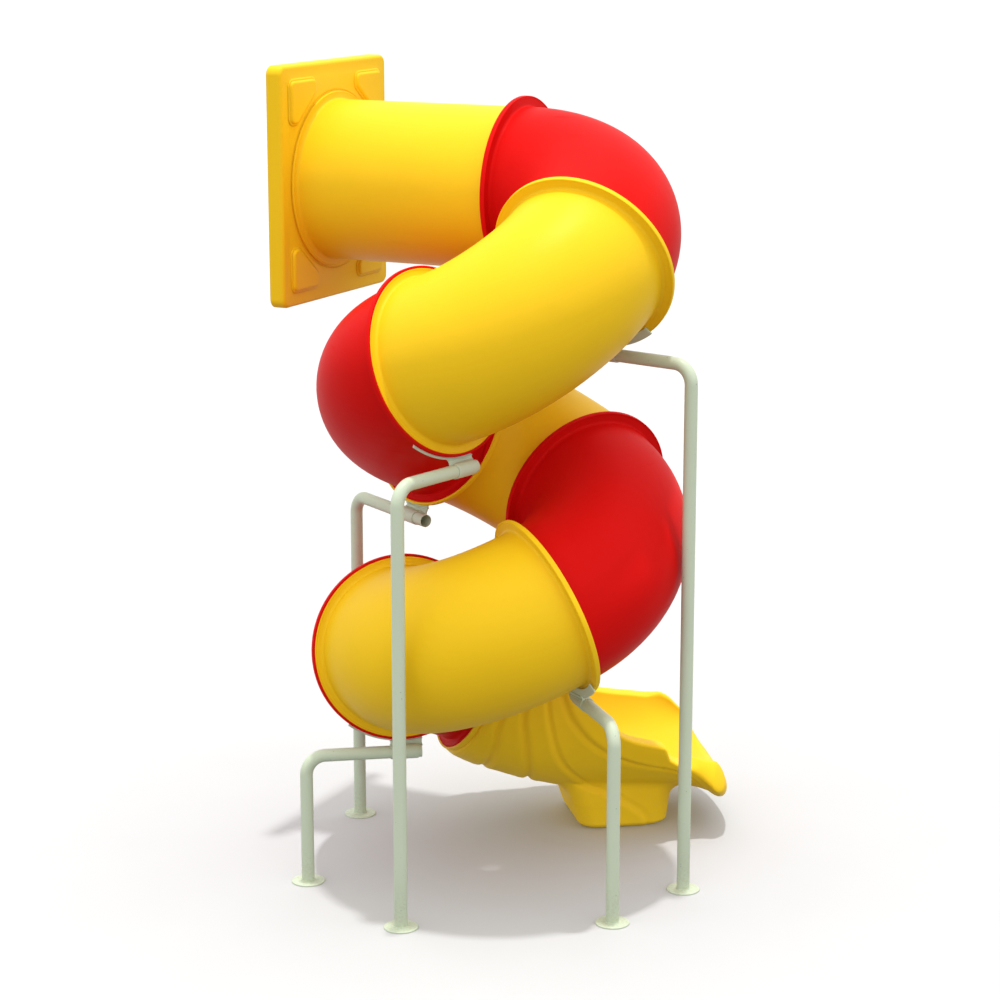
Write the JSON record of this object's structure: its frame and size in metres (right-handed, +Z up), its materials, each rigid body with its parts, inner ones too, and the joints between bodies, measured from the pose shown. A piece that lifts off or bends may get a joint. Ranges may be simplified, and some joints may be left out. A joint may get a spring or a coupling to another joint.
{
  "type": "spiral tube slide",
  "caption": "Spiral tube slide for a playground platform: entry panel, winding closed tube in red and yellow, open exit chute and bent steel posts.",
  "frame": {"origin": "on the ground, under the middle of the whole slide's box", "axes": "+Z up; +X the way a rider enters, from the entry panel into the tube; the tube then winds down clockwise seen from above"},
  "size_m": [2.2078, 2.5418, 3.743],
  "materials": {
    "yellow_plastic": "satin gloss, rotationally moulded polyethylene, yellow all through",
    "red_plastic": "satin gloss, rotationally moulded polyethylene, red all through",
    "cream_powder_coat": "semi-gloss pale grey-green powder coat on galvanised steel"
  },
  "bodies": {
    "root": {"arm_sleeve_1": "cream_powder_coat", "arm_sleeve_2": "cream_powder_coat", "arm_sleeve_3": "cream_powder_coat", "arm_sleeve_4": "cream_powder_coat", "arm_sleeve_5": "cream_powder_coat", "elbow_1_red": "red_plastic", "elbow_2_yellow": "yellow_plastic", "elbow_3_red": "red_plastic", "elbow_4_yellow": "yellow_plastic", "elbow_5_red": "red_plastic", "elbow_6_yellow": "yellow_plastic", "elbow_7_red": "red_plastic", "entry_panel": "yellow_plastic", "entry_tube": "yellow_plastic", "exit_chute": "yellow_plastic", "foot_plate_1": "cream_powder_coat", "foot_plate_2": "cream_powder_coat", "foot_plate_3": "cream_powder_coat", "foot_plate_4": "cream_powder_coat", "foot_plate_5": "cream_powder_coat", "post_1": "cream_powder_coat", "post_2": "cream_powder_coat", "post_3": "cream_powder_coat", "post_4": "cream_powder_coat", "post_5": "cream_powder_coat", "saddle_1": "cream_powder_coat", "saddle_2": "cream_powder_coat", "saddle_3": "cream_powder_coat", "saddle_4": "cream_powder_coat", "saddle_5": "cream_powder_coat", "saddle_web_1": "cream_powder_coat", "saddle_web_2": "cream_powder_coat", "saddle_web_3": "cream_powder_coat", "saddle_web_4": "cream_powder_coat", "saddle_web_5": "cream_powder_coat"}
  },
  "joints": []
}
